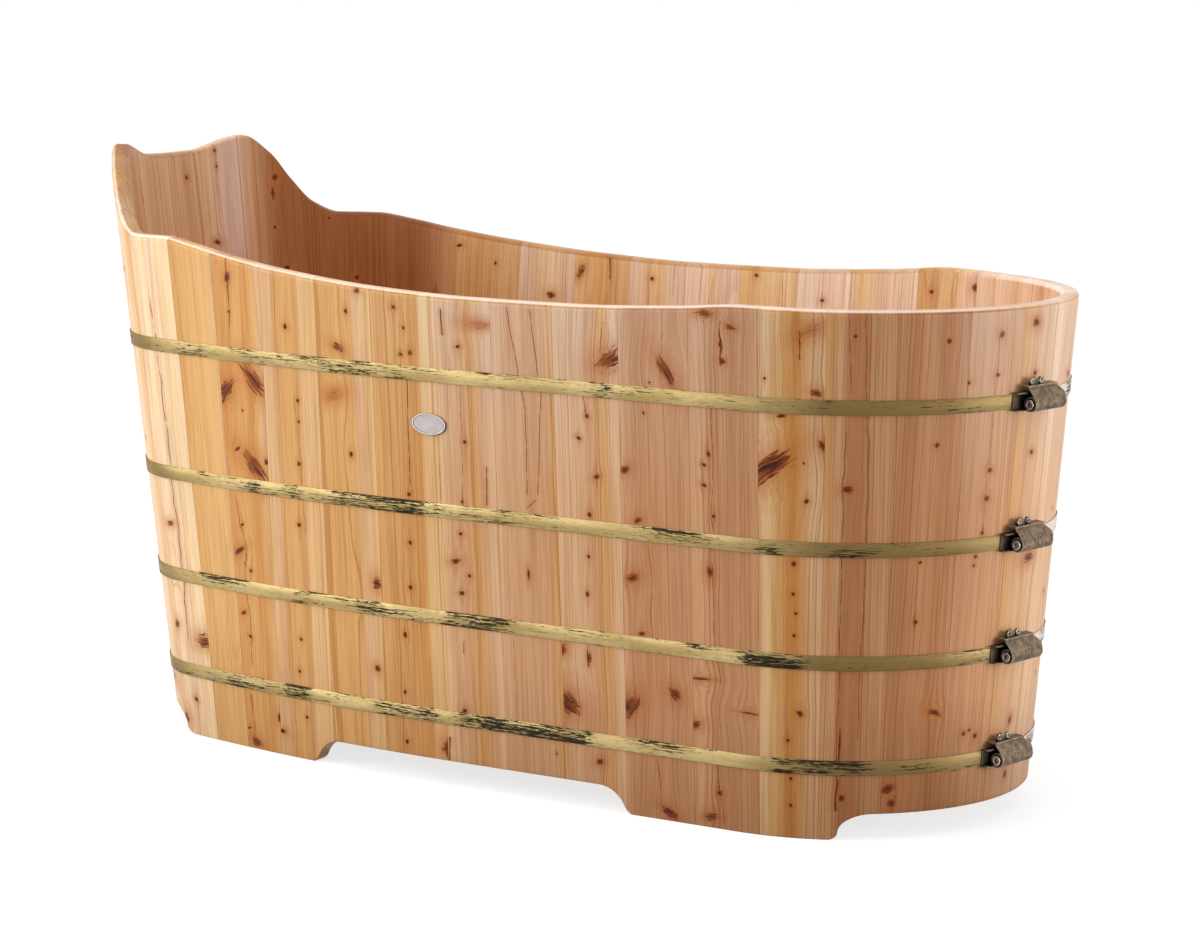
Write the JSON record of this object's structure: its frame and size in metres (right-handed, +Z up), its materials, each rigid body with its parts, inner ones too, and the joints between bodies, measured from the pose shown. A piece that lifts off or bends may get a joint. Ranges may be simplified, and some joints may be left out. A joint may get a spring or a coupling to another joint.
{
  "type": "wooden bathtub",
  "caption": "Freestanding stave-built wooden bathtub with a raised headrest end, flat metal hoops drawn by screw clamps, sawn feet and a floor drain.",
  "frame": {"origin": "on the floor, under the middle of the tub's bounding box", "axes": "+Z up, +X towards the low foot end, -X towards the high head end, -Y towards the side with the badge and the clamps' screw heads"},
  "size_m": [1.5688, 0.6671, 0.8915],
  "materials": {
    "stave_wood": "satin clear lacquer over knotty softwood",
    "floor_wood": "satin clear lacquer over knotty softwood",
    "hoop_brass": "worn antique brass",
    "clamp_bronze": "dark antique bronze",
    "eyelet_steel": "worn plated steel",
    "screw_steel": "bright steel",
    "drain_chrome": "polished",
    "gasket_rubber": "matt",
    "badge_silver": "pebbled satin silver"
  },
  "bodies": {
    "tub": {"badge_plate": "badge_silver", "clamp_eyelets": "eyelet_steel", "clamp_housing_1": "clamp_bronze", "clamp_housing_2": "clamp_bronze", "clamp_housing_3": "clamp_bronze", "clamp_housing_4": "clamp_bronze", "clamp_saddles": "clamp_bronze", "drain_board": "floor_wood", "drain_body": "drain_chrome", "drain_gasket": "gasket_rubber", "drain_nut": "drain_chrome", "floor_battens": "floor_wood", "floor_boards": "floor_wood", "hoop_1": "hoop_brass", "hoop_2": "hoop_brass", "hoop_3": "hoop_brass", "hoop_4": "hoop_brass", "stave_01": "stave_wood", "stave_02": "stave_wood", "stave_03": "stave_wood", "stave_04": "stave_wood", "stave_05": "stave_wood", "stave_06": "stave_wood", "stave_07": "stave_wood", "stave_08": "stave_wood", "stave_09": "stave_wood", "stave_10": "stave_wood", "stave_11": "stave_wood", "stave_12": "stave_wood", "stave_13": "stave_wood", "stave_14": "stave_wood", "stave_15": "stave_wood", "stave_16": "stave_wood", "stave_17": "stave_wood", "stave_18": "stave_wood", "stave_19": "stave_wood", "stave_20": "stave_wood", "stave_21": "stave_wood", "stave_22": "stave_wood", "stave_23": "stave_wood", "stave_24": "stave_wood", "stave_25": "stave_wood", "stave_26": "stave_wood", "stave_27": "stave_wood", "stave_28": "stave_wood", "stave_29": "stave_wood", "stave_30": "stave_wood", "stave_31": "stave_wood", "stave_32": "stave_wood", "stave_33": "stave_wood", "stave_34": "stave_wood", "stave_35": "stave_wood", "stave_36": "stave_wood", "stave_37": "stave_wood", "stave_38": "stave_wood"},
    "screw_1": {"clamp_screw_1": "screw_steel"},
    "screw_2": {"clamp_screw_2": "screw_steel"},
    "screw_3": {"clamp_screw_3": "screw_steel"},
    "screw_4": {"clamp_screw_4": "screw_steel"},
    "stopper": {"drain_stopper": "drain_chrome"}
  },
  "joints": [
    {"name": "clamp_screw_turn_1", "type": "hinge", "parent": "tub", "child": "screw_1", "pos_m": [0.76846, -0.04023, 0.5989], "axis": [-0.1736, -0.9848, 0], "continuous": true},
    {"name": "clamp_screw_turn_2", "type": "hinge", "parent": "tub", "child": "screw_2", "pos_m": [0.75425, -0.03773, 0.40388], "axis": [-0.1736, -0.9848, 0], "continuous": true},
    {"name": "clamp_screw_turn_3", "type": "hinge", "parent": "tub", "child": "screw_3", "pos_m": [0.74277, -0.0357, 0.24636], "axis": [-0.1736, -0.9848, 0], "continuous": true},
    {"name": "clamp_screw_turn_4", "type": "hinge", "parent": "tub", "child": "screw_4", "pos_m": [0.732, -0.03381, 0.09861], "axis": [-0.1736, -0.9848, 0], "continuous": true},
    {"name": "stopper_lift", "type": "slide", "parent": "tub", "child": "stopper", "axis": [0, 0, 1], "range_m": [0, 0.01]}
  ]
}
